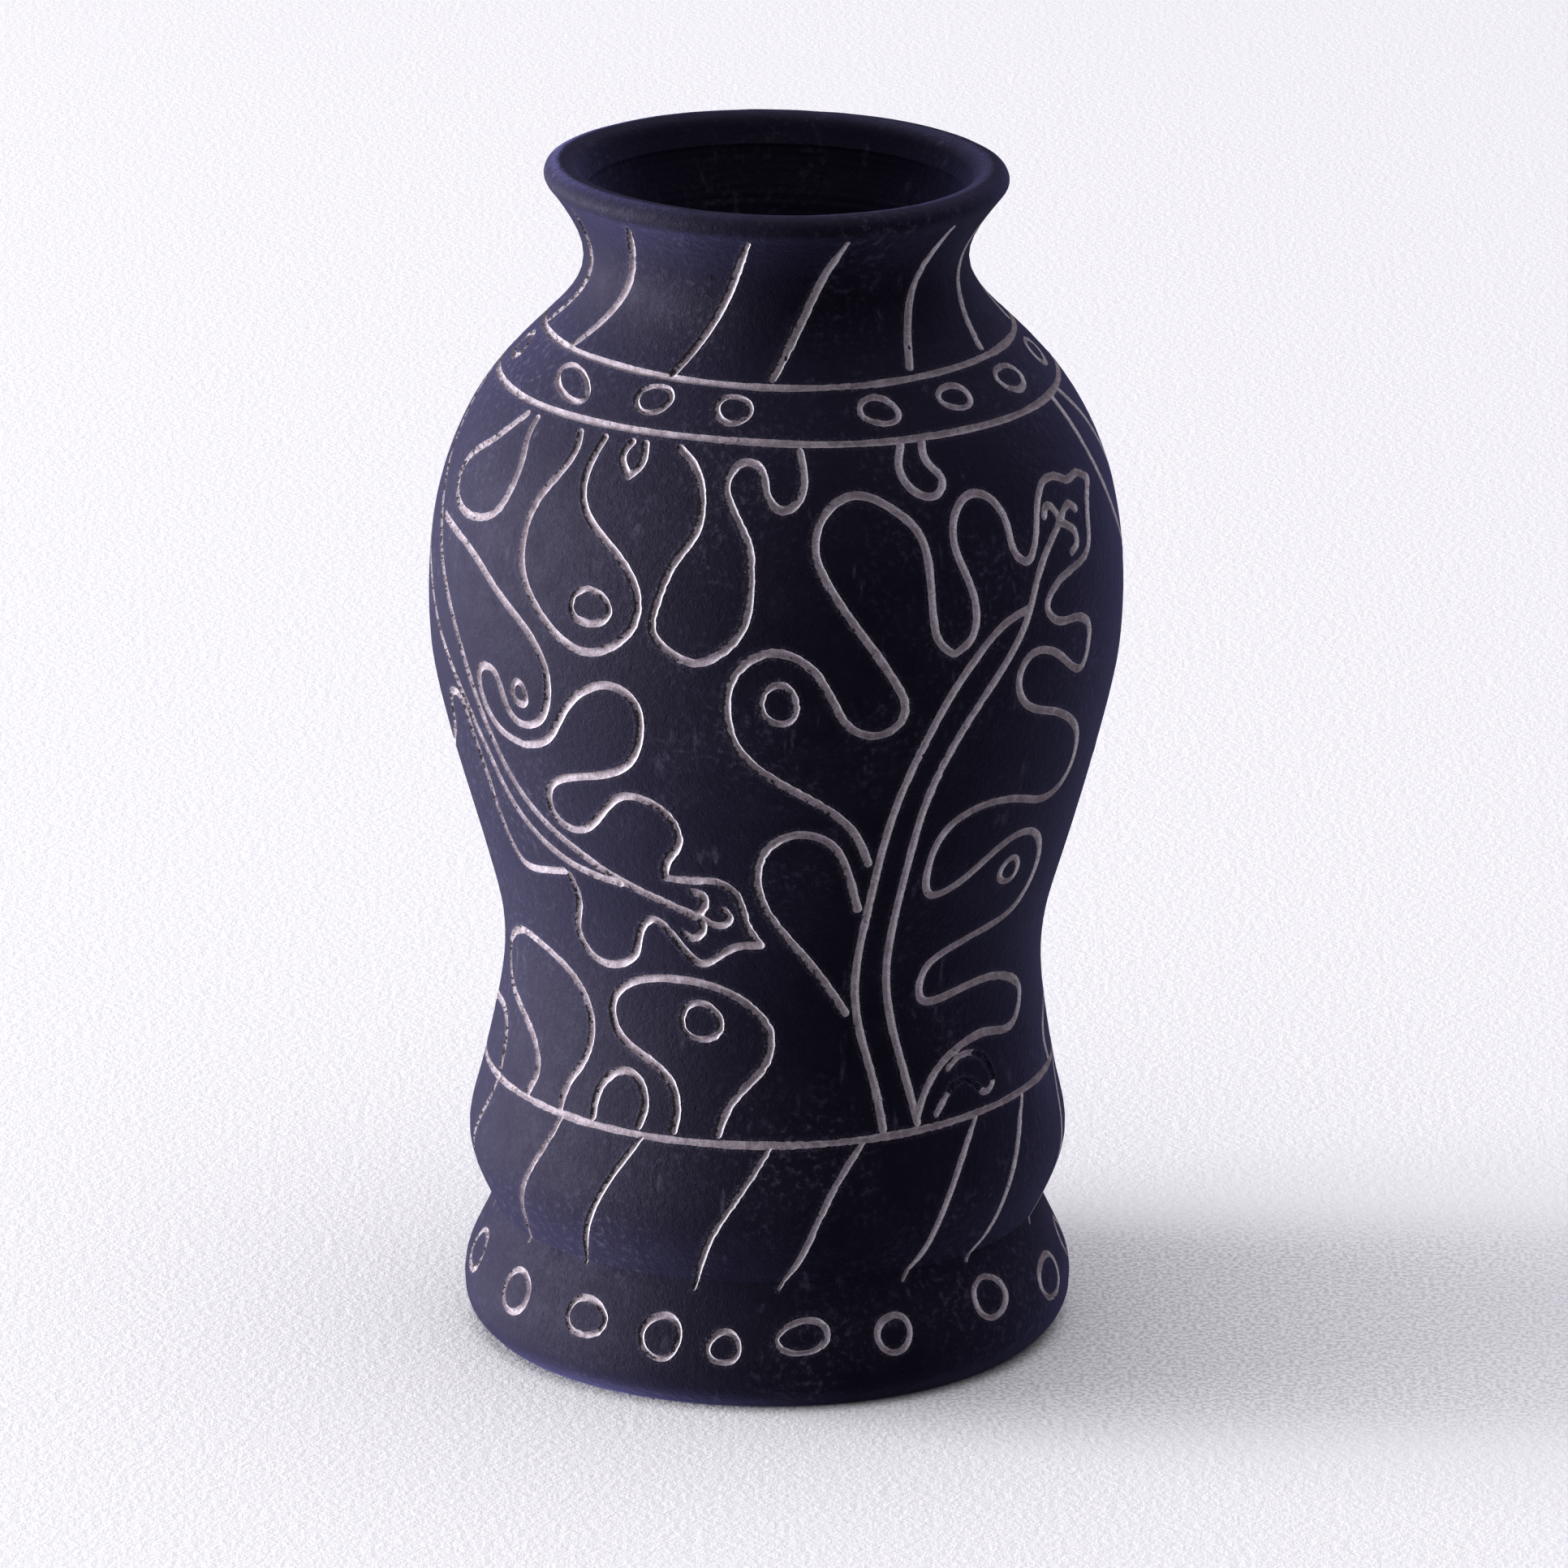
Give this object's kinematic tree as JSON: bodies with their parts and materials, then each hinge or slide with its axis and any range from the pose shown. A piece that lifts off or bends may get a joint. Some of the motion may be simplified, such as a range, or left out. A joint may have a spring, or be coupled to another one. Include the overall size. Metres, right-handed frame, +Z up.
{
  "type": "carved clay pot",
  "caption": "Waisted black clay pot with a rolled rim, a stepped foot and carved plant, loop and oval lines lined with pale slip.",
  "frame": {"origin": "centre of the flat base, on the surface that the pot stands on", "axes": "+Z up along the pot's axis, -Y towards the front of the pot, +X to its right as seen from the front"},
  "size_m": [0.1648, 0.1648, 0.285],
  "materials": {
    "clay": "unglazed, matte with a faint burnished sheen",
    "slip": "dry, chalky, rough"
  },
  "bodies": {
    "root": {"base_slab": "clay", "foot_wall": "clay", "bulge_wall": "clay", "waist_wall": "clay", "belly_wall": "clay", "shoulder_wall": "clay", "neck_wall": "clay", "rim_coil": "clay", "base_line": "slip", "lower_collar_line": "slip", "upper_collar_line": "slip", "neck_strokes": "slip", "collar_ovals": "slip", "pendant_loops_front": "slip", "pendant_loops_back": "slip", "standing_plant_front": "slip", "standing_plant_back": "slip", "hanging_plant_front": "slip", "hanging_plant_back": "slip", "lower_loops_front": "slip", "lower_loops_back": "slip", "foot_strokes": "slip", "foot_ovals": "slip"}
  },
  "joints": []
}
